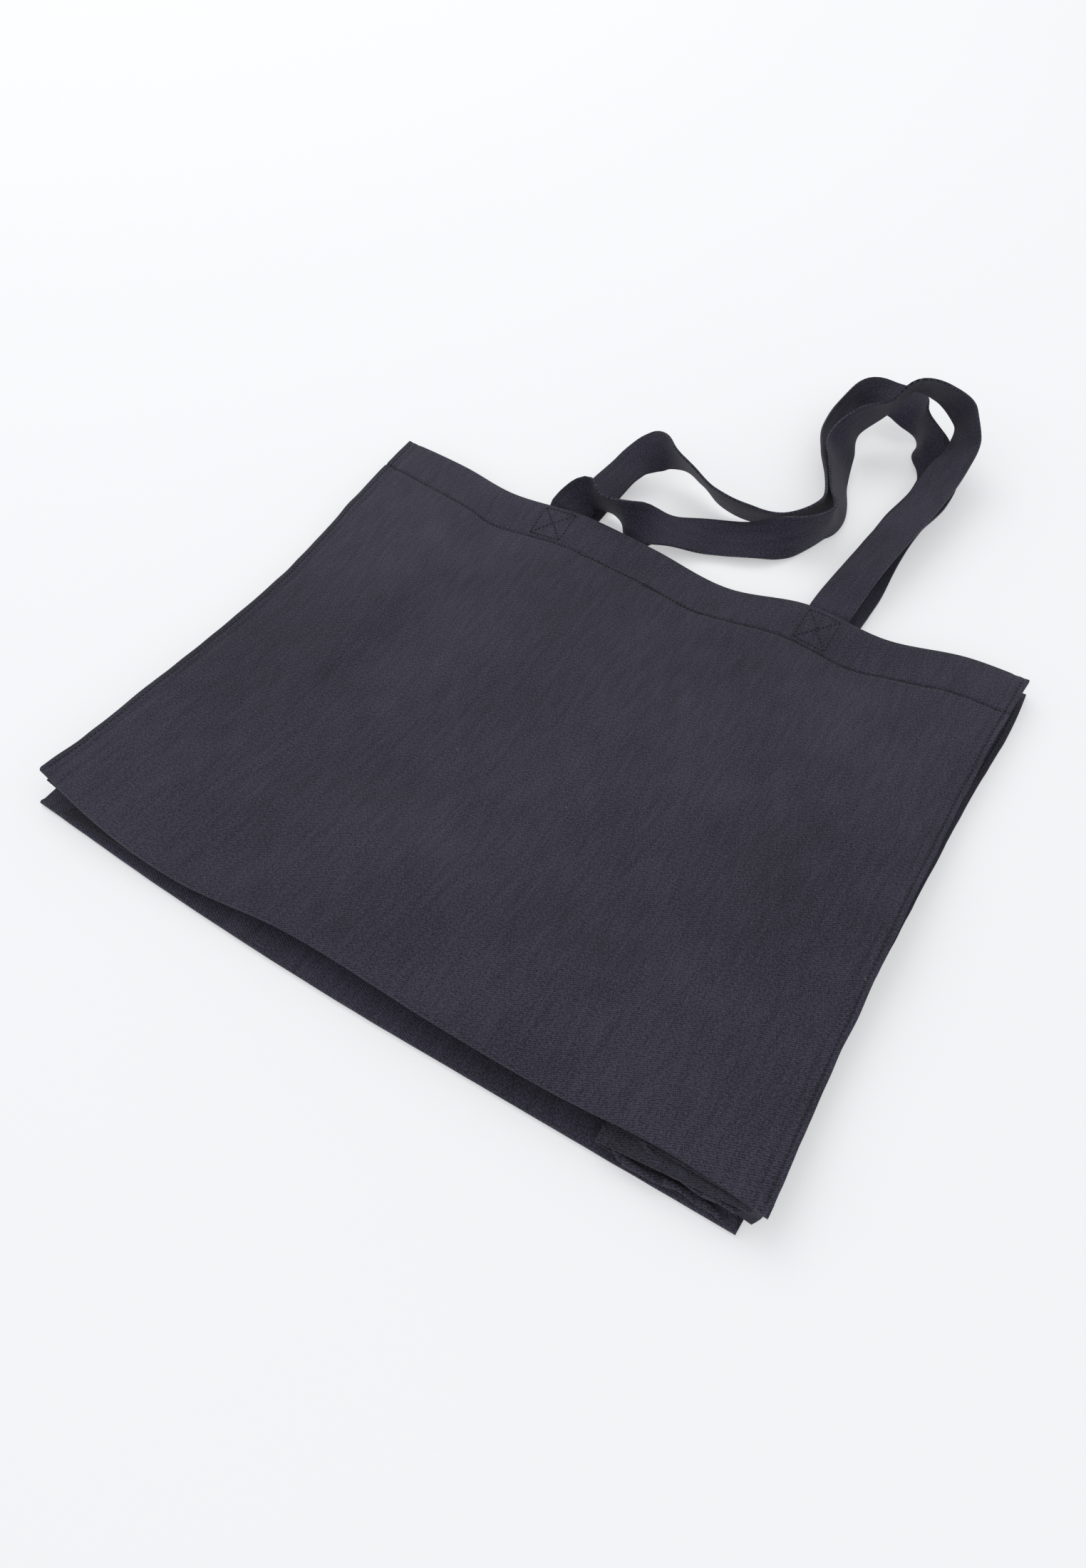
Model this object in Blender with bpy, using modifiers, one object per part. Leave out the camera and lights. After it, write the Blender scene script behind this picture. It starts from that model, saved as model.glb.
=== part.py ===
"""A canvas tote bag with folding side gussets, lying on its rear panel.

Frame: metres, +Z up. The origin is the centre of the rear panel's underside, +X runs
across the bag and +Y runs up the bag to the mouth, where the two handles lie.
The bag is folded nearly flat. It opens by four-panel folds: each side gusset and the
bottom are halved by a fold that points into the bag, and every half turns by the same
angle, so the front panel rises and stays parallel to the rear panel.
"""

import bmesh
import bpy
import numpy as np
from math import cos, radians, sin, tan
from mathutils import Matrix, Vector

# Driving dimensions, in metres.
WIDTH = 0.500               # across the panels, seam flanges included
HEIGHT = 0.388              # from the bottom fold to the mouth
DEPTH = 0.160               # of the opened bag, which is the gussets' full width
CANVAS = 0.0008             # one layer of cloth
CLEARANCE = 0.0003          # kept between pieces that touch
REST_FOLD = radians(5.5)    # each gusset half's angle to the panels, as the bag lies
SEAM_FLANGE = 0.008         # width of the pinched side seams
HEM_DEPTH = 0.036           # cloth turned in at the mouth
HEM_STITCH = 0.0335         # from the mouth edge to the hem's stitch line
SEAM_STITCH = 0.0035        # from the side edge to the side seam's stitch line
THREAD_WIDTH = 0.0008
THREAD_HEIGHT = 0.0004
STRAP_WIDTH = 0.030
STRAP_THICKNESS = 0.0020    # canvas folded to several layers
STRAP_TAIL = 0.031          # sewn end of a handle, below the mouth edge
STRAP_STAND = 0.0025        # sewn end beyond the mouth edge, where the handle starts to swing
BOX_WIDTH = 0.024           # crossed stitch box that holds a handle's end
BOX_HEIGHT = 0.027
BOX_BELOW_MOUTH = 0.0165    # from the mouth edge to the box's centre
FOLD_PLAY = 0.0006          # how far the bottom halves reach past half the depth
ROUTE_STEP = 0.006          # spacing of the sections along a handle

# What follows from them.
HALF_DEPTH = DEPTH / 2
HINGE_X = WIDTH / 2 - SEAM_FLANGE          # the gussets' fold lines on the panels
MOUTH_Y = HEIGHT / 2
LAYER = CANVAS + CLEARANCE                 # one layer and the gap above it
SLOPE = tan(REST_FOLD)
REAR_HINGE_Z = LAYER + CANVAS              # upper face of the rear seam's second layer
FRONT_HINGE_Z = REAR_HINGE_Z + DEPTH * sin(REST_FOLD)
FRONT_Z = FRONT_HINGE_Z + LAYER            # inner face of the front panel
FRONT_TOP = FRONT_Z + CANVAS
ONE_LAYER_IN = (CANVAS + 2 * CLEARANCE) / SLOPE       # where a fold leaves room for a layer
TWO_LAYERS_IN = 2 * (CANVAS + CLEARANCE) / SLOPE      # and for two
STITCHED_IN = TWO_LAYERS_IN + (THREAD_HEIGHT + CLEARANCE) / SLOPE    # and a thread row
REAR_STRAP_Z = 2 * LAYER + STRAP_THICKNESS / 2
FRONT_STRAP_Z = FRONT_Z - 2 * CLEARANCE - CANVAS - STRAP_THICKNESS / 2

# Each handle's route: x, distance beyond the mouth edge, height of the lower edge in
# strap widths, and the lean in degrees (0 lies flat, 90 stands on its inner edge).
# The first and last points lie at the height of the sewn ends.
FRONT_ROUTE = [
    (-0.099, 0.0037, None, 0), (-0.099, 0.0075, None, 0), (-0.097, 0.013, 0.34, 42),
    (-0.090, 0.017, 0.22, 85), (-0.078, 0.018, 0.22, 112), (-0.066, 0.015, 0.18, 108),
    (-0.055, 0.013, 0.12, 72), (-0.043, 0.014, 0.11, 30), (-0.018, 0.021, 0.08, 12),
    (0.011, 0.032, 0.05, 14), (0.036, 0.043, 0.05, 20), (0.054, 0.049, 0.04, 52),
    (0.067, 0.057, 0.04, 82), (0.075, 0.069, 0.04, 88), (0.078, 0.082, 0.04, 84),
    (0.077, 0.095, 0.04, 76), (0.072, 0.110, 0.05, 68), (0.060, 0.137, 0.12, 58),
    (0.052, 0.154, 0.20, 54), (0.048, 0.171, 0.28, 64), (0.052, 0.186, 0.46, 92),
    (0.061, 0.199, 0.66, 106), (0.068, 0.209, 0.83, 107), (0.074, 0.219, 1.00, 110),
    (0.083, 0.228, 1.08, 122), (0.096, 0.231, 0.98, 112), (0.110, 0.228, 0.80, 102),
    (0.123, 0.221, 0.68, 84), (0.131, 0.210, 0.66, 56), (0.133, 0.194, 0.62, 34),
    (0.132, 0.173, 0.54, 22), (0.130, 0.142, 0.46, 18), (0.125, 0.102, 0.42, 14),
    (0.120, 0.066, 0.43, 12), (0.117, 0.039, 0.44, 8), (0.115, 0.020, 0.47, 3),
    (0.114, 0.009, None, 0), (0.114, 0.0037, None, 0),
]
REAR_ROUTE = [
    (-0.092, 0.0037, None, 0), (-0.092, 0.014, None, 0), (-0.091, 0.030, 0.10, 0),
    (-0.088, 0.046, 0.22, 4), (-0.083, 0.062, 0.40, 12), (-0.076, 0.074, 0.44, 35),
    (-0.066, 0.083, 0.38, 80), (-0.054, 0.087, 0.37, 112), (-0.044, 0.085, 0.37, 118),
    (-0.031, 0.079, 0.30, 115), (-0.020, 0.072, 0.22, 115), (-0.008, 0.066, 0.14, 113),
    (0.005, 0.062, 0.08, 110), (0.020, 0.061, 0.05, 108), (0.036, 0.063, 0.04, 108),
    (0.050, 0.067, 0.04, 108), (0.060, 0.073, 0.04, 102), (0.065, 0.082, 0.04, 90),
    (0.066, 0.093, 0.04, 76), (0.061, 0.111, 0.04, 62), (0.049, 0.142, 0.04, 48),
    (0.040, 0.169, 0.04, 40), (0.036, 0.192, 0.04, 44), (0.037, 0.211, 0.05, 58),
    (0.043, 0.227, 0.12, 66), (0.055, 0.234, 0.26, 38), (0.069, 0.232, 0.28, 24),
    (0.084, 0.226, 0.14, 54), (0.096, 0.216, 0.05, 76), (0.105, 0.204, 0.04, 50),
    (0.113, 0.192, 0.04, 24), (0.118, 0.180, 0.04, 10), (0.121, 0.163, 0.04, 6),
    (0.121, 0.110, 0.04, 4), (0.121, 0.060, 0.04, 3), (0.121, 0.030, 0.05, 1),
    (0.121, 0.012, None, 0), (0.121, 0.0037, None, 0),
]


def clear_scene():
    for obj in list(bpy.data.objects):
        bpy.data.objects.remove(obj, do_unlink=True)


def make_collection(name):
    collection = bpy.data.collections.new(name)
    bpy.context.scene.collection.children.link(collection)
    return collection


def make_material(name, colour, roughness):
    material = bpy.data.materials.new(name)
    material.use_nodes = True
    shader = material.node_tree.nodes["Principled BSDF"]
    shader.inputs["Base Color"].default_value = (*colour, 1.0)
    shader.inputs["Roughness"].default_value = roughness
    shader.inputs["Metallic"].default_value = 0.0
    return material


def add_body(name, matrix, parent=None):
    """An empty on a fold line, which carries the pieces that turn about it."""
    empty = bpy.data.objects.new(name, None)
    empty.empty_display_size = 0.03
    BAG.objects.link(empty)
    empty.parent = parent
    empty.matrix_world = matrix
    bpy.context.view_layer.update()
    return empty


def fold_frame(origin, along, across):
    """The matrix whose X points along a folded half and whose Y runs along its fold."""
    x = Vector(along).normalized()
    y = Vector(across).normalized()
    return Matrix.Translation(origin) @ Matrix((x, y, x.cross(y))).transposed().to_4x4()


def add_piece(name, bm, material, body=None):
    mesh = bpy.data.meshes.new(name)
    bmesh.ops.recalc_face_normals(bm, faces=bm.faces)
    bm.to_mesh(mesh)
    bm.free()
    mesh.materials.append(material)
    obj = bpy.data.objects.new(name, mesh)
    BAG.objects.link(obj)
    if body:
        obj.parent = body
    return obj


def add_flat(name, outline, base, thickness, material, body=None):
    """A flat outline in the body's XY plane, raised to its thickness."""
    bm = bmesh.new()
    face = bm.faces.new([bm.verts.new((x, y, base)) for x, y in outline])
    raised = bmesh.ops.extrude_face_region(bm, geom=[face])
    top = [v for v in raised["geom"] if isinstance(v, bmesh.types.BMVert)]
    bmesh.ops.translate(bm, verts=top, vec=(0, 0, thickness))
    return add_piece(name, bm, material, body)


def rectangle(x_low, x_high, y_low, y_high):
    return [(x_low, y_low), (x_high, y_low), (x_high, y_high), (x_low, y_high)]


def add_panels():
    """Rear and front panels with their turned hems, and the side seams' second layers."""
    outline = rectangle(-WIDTH / 2, WIDTH / 2, -MOUTH_Y, MOUTH_Y)
    hem_x = HINGE_X - TWO_LAYERS_IN
    hem = rectangle(-hem_x, hem_x, MOUTH_Y - HEM_DEPTH, MOUTH_Y)
    add_flat("rear_panel", outline, 0, CANVAS, CLOTH)
    add_flat("rear_mouth_hem", hem, LAYER, CANVAS, CLOTH_INSIDE)
    add_world_flat("front_panel", outline, FRONT_Z, CANVAS, CLOTH, FRONT)
    add_world_flat("front_mouth_hem", hem, FRONT_Z - LAYER, CANVAS, CLOTH_INSIDE, FRONT)
    for side, sign in SIDES:
        edges = sorted((sign * (HINGE_X + CLEARANCE), sign * WIDTH / 2))
        strip = rectangle(*edges, -MOUTH_Y, MOUTH_Y)
        add_flat(f"{side}_rear_seam_layer", strip, LAYER, CANVAS, CLOTH)
        add_world_flat(f"{side}_front_seam_layer", strip, FRONT_HINGE_Z, CANVAS, CLOTH, FRONT)


def add_world_flat(name, outline, base, thickness, material, body):
    """A level piece on a body whose empty may be turned: its mesh is moved to match."""
    obj = add_flat(name, outline, base, thickness, material)
    obj.parent = body
    obj.matrix_parent_inverse = body.matrix_world.inverted()
    return obj


def add_gusset_half(name, body, sign, hem_start, hem_end):
    """One half of a side gusset with its mouth hem. sign turns the body's Y upwards."""
    inner = HALF_DEPTH - CLEARANCE
    add_flat(name, rectangle(CLEARANCE, inner, -MOUTH_Y, MOUTH_Y), 0, CANVAS, CLOTH, body)
    ends = sorted((sign * (MOUTH_Y - HEM_DEPTH), sign * MOUTH_Y))
    hem = rectangle(hem_start, hem_end, *ends)
    add_flat(f"{name}_hem", hem, LAYER, CANVAS, CLOTH_INSIDE, body)


def add_corner(name, body, sign):
    """The bottom's folded corner, sewn to the lower end of a gusset half."""
    inner = HALF_DEPTH - CLEARANCE
    reach = TWO_LAYERS_IN - CLEARANCE
    low = ONE_LAYER_IN
    outline = [(low, 0), (inner, 0), (inner, sign * (inner + reach)), (low, sign * (low + reach))]
    add_flat(name, outline, 0, CANVAS, CLOTH, body)


def add_side_gusset(side, sign):
    """Both halves of a gusset, hinged to the rear panel and to each other."""
    c, s = cos(REST_FOLD), sin(REST_FOLD)
    up = (0, sign, 0)
    hinge = Vector((sign * HINGE_X, 0, REAR_HINGE_Z))
    inward = Vector((-sign * c, 0, s))
    outward = Vector((sign * c, 0, s))
    middle = hinge + HALF_DEPTH * inward
    rear = add_body(f"{side}_gusset_rear_fold", fold_frame(hinge, inward, up))
    front = add_body(f"{side}_gusset_middle_fold", fold_frame(middle, outward, up), rear)
    inner = HALF_DEPTH - CLEARANCE
    hems = {"rear": (ONE_LAYER_IN, inner), "front": (CLEARANCE, HALF_DEPTH - ONE_LAYER_IN)}
    for part, body, start, along in (("rear", rear, hinge, inward), ("front", front, middle, outward)):
        name = f"{side}_gusset_{part}"
        add_gusset_half(name, body, sign, *hems[part])
        seam = fold_frame(start, along, up)
        seam = seam @ Matrix.Translation((0, -sign * MOUTH_Y, LAYER))
        if part == "front":
            # The front corner is measured from the front fold, so its X runs inward.
            top = Vector((sign * HINGE_X, 0, FRONT_HINGE_Z))
            seam = fold_frame(top, -along, up) @ Matrix.Translation((0, -sign * MOUTH_Y, -LAYER))
            seam = seam @ Matrix.Diagonal((1, 1, -1, 1))
        corner = add_body(f"{name}_end_seam", seam, body)
        add_corner(f"{side}_{part}_bottom_corner", corner, sign)
    return front


def add_bottom():
    """The bottom's two halves, with ends cut back where the corners fold in."""
    c, s = cos(REST_FOLD), sin(REST_FOLD)
    reach = HALF_DEPTH + FOLD_PLAY
    wide = HINGE_X - TWO_LAYERS_IN
    narrow = wide - reach
    outline = [(CLEARANCE, -wide), (reach, -narrow), (reach, narrow), (CLEARANCE, wide)]
    rear_edge = (0, -MOUTH_Y, CANVAS)
    rear = add_body("bottom_rear_fold", fold_frame(rear_edge, (0, c, s), (-1, 0, 0)))
    add_flat("bottom_rear", outline, 0, CANVAS, CLOTH, rear)
    front_edge = (0, -MOUTH_Y, FRONT_Z)
    front = add_body("bottom_front_fold", fold_frame(front_edge, (0, c, -s), (1, 0, 0)), FRONT)
    add_flat("bottom_front", outline, 0, CANVAS, CLOTH, front)


def add_handle_ends(name, xs, z, box_base, body):
    """The sewn ends of a handle, under their crossed stitch boxes."""
    for side, x in zip(("left", "right"), xs):
        low = x - STRAP_WIDTH / 2
        tail = rectangle(low, low + STRAP_WIDTH, MOUTH_Y - STRAP_TAIL, MOUTH_Y + STRAP_STAND)
        base = z - STRAP_THICKNESS / 2
        add_world_flat(f"{name}_handle_{side}_end", tail, base, STRAP_THICKNESS, STRAP, body)
        add_stitch_box(f"{name}_{side}_box_thread", x, box_base, body)


def add_stitch_box(name, x, base, body):
    """A stitched square with its diagonals, as one thread."""
    bm = bmesh.new()
    bmesh.ops.create_grid(bm, x_segments=1, y_segments=1, size=0.5)
    bmesh.ops.scale(bm, verts=bm.verts, vec=(BOX_WIDTH, BOX_HEIGHT, 1))
    bmesh.ops.poke(bm, faces=bm.faces)
    centre = (x, MOUTH_Y - BOX_BELOW_MOUTH, base + CLEARANCE + THREAD_WIDTH / 2)
    bmesh.ops.translate(bm, verts=bm.verts, vec=centre)
    obj = add_piece(name, bm, THREAD)
    obj.parent = body
    obj.matrix_parent_inverse = body.matrix_world.inverted()
    wire = obj.modifiers.new("Thread", "WIREFRAME")
    wire.thickness = THREAD_WIDTH
    wire.use_boundary = True
    wire.use_even_offset = True


def add_thread_row(name, x_low, x_high, y_low, y_high, base, body):
    row = rectangle(x_low, x_high, y_low, y_high)
    add_world_flat(name, row, base + CLEARANCE, THREAD_HEIGHT, THREAD, body)


def add_threads():
    """The stitch lines of the mouth hems and of the side seams."""
    half = THREAD_WIDTH / 2
    hem_y = MOUTH_Y - HEM_STITCH
    hem_x = HINGE_X - STITCHED_IN
    seam_y = MOUTH_Y - half
    for name, base, body in (("rear", 2 * LAYER - CLEARANCE, REAR), ("front", FRONT_TOP, FRONT)):
        add_thread_row(f"{name}_hem_thread", -hem_x, hem_x, hem_y - half, hem_y + half, base, body)
        for side, sign in SIDES:
            x = sign * (WIDTH / 2 - SEAM_STITCH)
            thread = f"{side}_{name}_seam_thread"
            add_thread_row(thread, x - half, x + half, -seam_y, seam_y, base, body)


def smooth_route(stations, end_z):
    """Centre points and lean angles along a handle, on a smooth curve through them."""
    rows = []
    for x, beyond, lift, lean in stations:
        angle = radians(lean)
        rise = STRAP_WIDTH / 2 * abs(sin(angle)) + STRAP_THICKNESS / 2 * abs(cos(angle))
        z = end_z if lift is None else lift * STRAP_WIDTH + rise
        rows.append((x, MOUTH_Y + beyond, z, angle))
    points = np.array(rows)
    ends = np.vstack([2 * points[0] - points[1], points, 2 * points[-1] - points[-2]])
    out = []
    for p0, p1, p2, p3 in zip(ends, ends[1:], ends[2:], ends[3:]):
        steps = max(2, round(np.linalg.norm((p2 - p1)[:3]) / ROUTE_STEP))
        for t in np.linspace(0, 1, steps, endpoint=False):
            near = 2 * p1 + (p2 - p0) * t
            far = (2 * p0 - 5 * p1 + 4 * p2 - p3) * t**2 + (3 * p1 - p0 - 3 * p2 + p3) * t**3
            out.append((near + far) / 2)
    out.append(points[-1])
    return np.array(out)


def add_handle(name, stations, end_z, body):
    """A handle as one ribbon: its width turns with the lean, its thickness is added last."""
    route = smooth_route(stations, end_z)
    travel = np.gradient(route[:, :3], axis=0)
    travel[0] = (0, 1, 0)
    travel[-1] = (0, -1, 0)
    bm = bmesh.new()
    edge = None
    for (x, y, z, lean), way in zip(route, travel):
        way = Vector(way).normalized()
        side = Vector((0, 0, 1)).cross(way).normalized()
        width = cos(lean) * side + sin(lean) * way.cross(side)
        ends = [Vector((x, y, z)) + half * width for half in (-STRAP_WIDTH / 2, STRAP_WIDTH / 2)]
        if edge is None:
            edge = bm.edges.new([bm.verts.new(end) for end in ends])
            continue
        grown = bmesh.ops.extrude_edge_only(bm, edges=[edge])["geom"]
        edge = next(g for g in grown if isinstance(g, bmesh.types.BMEdge))
        for vert, end in zip(sorted(edge.verts, key=lambda v: v.index), ends):
            vert.co = end
        bm.verts.index_update()
    obj = add_piece(name, bm, STRAP)
    obj.parent = body
    obj.matrix_parent_inverse = body.matrix_world.inverted()
    thickness = obj.modifiers.new("Thickness", "SOLIDIFY")
    thickness.thickness = STRAP_THICKNESS
    thickness.offset = 0


def add_handles():
    """Both handles, each hinged just beyond the mouth edge, where its sewn ends stop."""
    sets = (("front", FRONT_ROUTE, FRONT_STRAP_Z, FRONT, FRONT_TOP),
            ("rear", REAR_ROUTE, REAR_STRAP_Z, REAR, REAR_STRAP_Z + STRAP_THICKNESS / 2))
    for name, route, z, body, box_base in sets:
        add_handle_ends(name, (route[0][0], route[-1][0]), z, box_base, body)
        hinge = Matrix.Translation((0, MOUTH_Y + STRAP_STAND, z))
        swing = add_body(f"{name}_handle_swing", hinge, body)
        add_handle(f"{name}_handle", route, z, swing)


clear_scene()
BAG = make_collection("canvas_tote_bag")
CLOTH = make_material("canvas", (0.052, 0.048, 0.066), 0.9)
CLOTH_INSIDE = make_material("canvas_inside", (0.046, 0.043, 0.058), 0.92)
STRAP = make_material("strap_canvas", (0.048, 0.045, 0.060), 0.88)
THREAD = make_material("thread", (0.022, 0.021, 0.028), 0.7)
SIDES = (("left", -1), ("right", 1))
REAR = add_body("rear_body", Matrix())
add_side_gusset("left", -1)
RIGHT_FRONT = add_side_gusset("right", 1)
FRONT_FOLD = Matrix.Translation((HINGE_X, 0, FRONT_HINGE_Z))
FRONT = add_body("front_fold", FRONT_FOLD, RIGHT_FRONT)
add_panels()
add_bottom()
add_threads()
add_handles()
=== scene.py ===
"""Looks of a canvas tote bag that lies folded on its rear panel, with loose handles.

Frame as in the CAD: metres, +X across the bag, +Y up the bag to the mouth, +Z upwards.
"""
import math

import bmesh
import bpy
import numpy as np
from mathutils import Matrix, Vector, noise


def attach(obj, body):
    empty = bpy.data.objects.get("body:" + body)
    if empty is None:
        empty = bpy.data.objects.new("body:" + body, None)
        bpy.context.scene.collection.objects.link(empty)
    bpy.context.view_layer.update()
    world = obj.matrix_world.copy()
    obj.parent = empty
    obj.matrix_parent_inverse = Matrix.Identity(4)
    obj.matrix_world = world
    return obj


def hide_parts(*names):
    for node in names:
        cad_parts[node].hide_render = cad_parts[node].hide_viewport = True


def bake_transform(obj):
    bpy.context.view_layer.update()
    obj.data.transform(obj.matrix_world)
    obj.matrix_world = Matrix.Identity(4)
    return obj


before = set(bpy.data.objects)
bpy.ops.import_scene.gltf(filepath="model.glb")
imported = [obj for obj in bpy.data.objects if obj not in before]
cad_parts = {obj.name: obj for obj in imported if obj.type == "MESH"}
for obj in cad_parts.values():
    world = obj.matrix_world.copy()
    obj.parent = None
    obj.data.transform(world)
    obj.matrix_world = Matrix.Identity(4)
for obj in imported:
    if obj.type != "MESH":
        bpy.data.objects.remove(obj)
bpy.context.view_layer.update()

# Sizes that the pieces share, in metres.
HALF_WIDTH = 0.250
HALF_HEIGHT = 0.194
CLOTH_THICK = 0.0008
STRAP_THICK = 0.0019
STRAP_WIDE = 0.030
FLANGE = 0.008              # pinched side seam
SEAM_STITCH_IN = 0.0035     # its stitch row, from the edge
HEM_STITCH_DOWN = 0.0335    # hem's stitch row, below the mouth edge
HEM_RAW_EDGE = 0.036
STITCH_PITCH = 0.0030
FOLD_NOSE_X = 0.1624        # gusset's inner fold
FOLD_NOSE_Y = -0.1144       # bottom's inner fold
FOLD_NOSE_Z = 0.0096
REAR_Z = CLOTH_THICK / 2
GUSSET_DROP = 0.004         # how far the gussets' lower ends pass the bottom folds
GUSSET_REACH = 0.0806       # half a gusset's width, laid flat
BOTTOM_FRONT_REACH = 0.080  # the bottom's front half
SEAM_LAYER_GAP = 0.0011     # between the middles of a side seam's two layers
NOSE_HALF_GAP = 0.0010      # half the height of a gusset's inner fold

# ---------------------------------------------------------------- shader maths


class Wire:
    """A shader socket with arithmetic, so that a pattern reads as an expression."""

    def __init__(self, finish, socket):
        self.finish = finish
        self.socket = socket

    def _maths(self, operation, *values):
        return self.finish.node("ShaderNodeMath", {"operation": operation}, dict(enumerate(values)))

    def __add__(self, other):
        return self._maths("ADD", self, other)

    def __radd__(self, other):
        return self._maths("ADD", other, self)

    def __sub__(self, other):
        return self._maths("SUBTRACT", self, other)

    def __rsub__(self, other):
        return self._maths("SUBTRACT", other, self)

    def __mul__(self, other):
        return self._maths("MULTIPLY", self, other)

    def __rmul__(self, other):
        return self._maths("MULTIPLY", other, self)

    def sine(self):
        return self._maths("SINE", self)

    def clamped(self, low, high):
        return self._maths("MINIMUM", self._maths("MAXIMUM", self, low), high)


class Finish:
    """A material built node by node on a Principled shader."""

    def __init__(self, name, roughness, **constants):
        self.material = bpy.data.materials.new(name)
        self.material.use_nodes = True
        self.tree = self.material.node_tree
        self.shader = self.tree.nodes["Principled BSDF"]
        self.shader.inputs["Roughness"].default_value = roughness
        for socket, value in constants.items():
            self.shader.inputs[socket.replace("_", " ")].default_value = value

    def put(self, socket, value):
        if isinstance(value, Wire):
            self.tree.links.new(value.socket, socket)
        else:
            socket.default_value = value

    def node(self, kind, settings=None, inputs=None, out=0):
        made = self.tree.nodes.new(kind)
        for key, value in (settings or {}).items():
            setattr(made, key, value)
        for key, value in (inputs or {}).items():
            self.put(made.inputs[key], value)
        return Wire(self, made.outputs[out])

    def feed(self, **links):
        for socket, value in links.items():
            self.put(self.shader.inputs[socket.replace("_", " ")], value)


def canvas_finish(name, colour, twill_pitch=0.00120, bump=0.6, angle=66.0):
    """Twill canvas: raised diagonal ribs, crossed by finer yarns, with slubs and lint, and painted shade
    along the stitch rows where a piece carries it.
    """
    cloth = Finish(name, 0.82, Sheen_Weight=0.10, Sheen_Roughness=0.5, Specular_IOR_Level=0.25)
    uv = cloth.node("ShaderNodeUVMap", {"uv_map": "flat_cloth"})
    parts = cloth.node("ShaderNodeSeparateXYZ", None, {0: uv})
    across = parts
    along = Wire(cloth, parts.socket.node.outputs[1])
    turn = math.radians(angle)
    wobble = cloth.node("ShaderNodeTexNoise", None, {"Vector": uv, "Scale": 60.0, "Detail": 2.0})
    rib_way = across * math.cos(turn) + along * math.sin(turn) + wobble * 0.0006
    ribs = (rib_way * (2 * math.pi / twill_pitch)).sine()
    counter_way = along * math.cos(turn) - across * math.sin(turn) + wobble * 0.0004
    yarns = (counter_way * (2 * math.pi / (twill_pitch * 0.8))).sine()
    stretched = cloth.node("ShaderNodeMapping", None, {"Vector": uv, "Scale": (260.0, 40.0, 1.0)})
    slub = cloth.node("ShaderNodeTexNoise", None, {"Vector": stretched, "Scale": 1.0, "Detail": 3.0})
    patches = cloth.node("ShaderNodeTexNoise", None, {"Vector": uv, "Scale": 14.0, "Detail": 4.0})
    broad = cloth.node("ShaderNodeTexNoise", None, {"Vector": uv, "Scale": 5.5, "Detail": 2.0})
    grit = cloth.node("ShaderNodeTexNoise", None, {"Vector": uv, "Scale": 1500.0, "Detail": 1.0})
    lint = cloth.node("ShaderNodeTexVoronoi", None, {"Vector": uv, "Scale": 34.0})
    lint_dot = (0.018 - lint).clamped(0.0, 0.004) * 140.0
    fuzz = cloth.node("ShaderNodeTexNoise", None, {"Vector": uv, "Scale": 820.0, "Detail": 3.0,
                                                   "Roughness": 0.65})
    # Painted shade along the stitch rows: a per-point mask, pulsed stitch by stitch, darkens the colour
    # below.
    stitch_shade_mask = cloth.node("ShaderNodeAttribute", {"attribute_name": "painted_stitch_shade"}, out=2)
    stitch_shade_mask = stitch_shade_mask * (0.55 + (across * (2 * math.pi / STITCH_PITCH)).sine() * 0.45)
    tone = (0.70 + ribs * 0.30 + yarns * 0.16 + (slub - 0.5) * 0.9 + (patches - 0.5) * 0.75
            + (broad - 0.5) * 0.8 + (grit - 0.5) * 1.6 + (fuzz - 0.5) * 3.8 - stitch_shade_mask * 0.75)
    shade = cloth.node("ShaderNodeMix", {"data_type": "RGBA"}, {
        "Factor": tone.clamped(0.0, 1.4) * 0.7,
        6: (*[c * 0.28 for c in colour], 1.0),
        7: (*[c * 1.72 for c in colour], 1.0)}, out=2)
    dusted = cloth.node("ShaderNodeMix", {"data_type": "RGBA"}, {
        "Factor": lint_dot, 6: shade, 7: (0.30, 0.29, 0.31, 1.0)}, out=2)
    height = ribs * 0.5 + yarns * 0.22 + (slub - 0.5) * 0.7 + (grit - 0.5) * 0.5 + (fuzz - 0.5) * 1.2
    bumped = cloth.node("ShaderNodeBump", None, {
        "Height": height, "Strength": bump, "Distance": 0.0003})
    cloth.feed(Base_Color=dusted, Normal=bumped, Roughness=0.78 + (patches - 0.5) * 0.2)
    return cloth.material


def thread_finish(name, colour):
    """Sewing thread: fine plies across a dark, slightly shiny strand."""
    thread = Finish(name, 0.5, Sheen_Weight=0.05)
    place = thread.node("ShaderNodeTexCoord", out=3)
    parts = thread.node("ShaderNodeSeparateXYZ", None, {0: place})
    along = Wire(thread, parts.socket.node.outputs[1])
    plies = ((parts + along) * (2 * math.pi / 0.0007)).sine()
    fluff = thread.node("ShaderNodeTexNoise", None, {"Vector": place, "Scale": 900.0})
    shade = thread.node("ShaderNodeMix", {"data_type": "RGBA"}, {
        "Factor": (0.5 + plies * 0.3 + (fluff - 0.5) * 0.6).clamped(0.0, 1.0),
        6: (*[c * 0.55 for c in colour], 1.0), 7: (*[c * 1.5 for c in colour], 1.0)}, out=2)
    bumped = thread.node("ShaderNodeBump", None, {
        "Height": plies, "Strength": 0.4, "Distance": 0.0002})
    thread.feed(Base_Color=shade, Normal=bumped)
    return thread.material


CANVAS = canvas_finish("twill_canvas", (0.045, 0.0415, 0.0625))
INSIDE = canvas_finish("inner_canvas", (0.036, 0.034, 0.048), angle=-66.0)
# The straps' colour is darker than the panel's: painted shade for the shade that the straps' bends and
# edges cast on themselves.
STRAP = canvas_finish("strap_canvas_folded_painted_shade", (0.037, 0.0335, 0.0525), angle=24.0)
THREAD = thread_finish("sewing_thread", (0.009, 0.009, 0.013))

# ---------------------------------------------------------------- shape helpers


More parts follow.
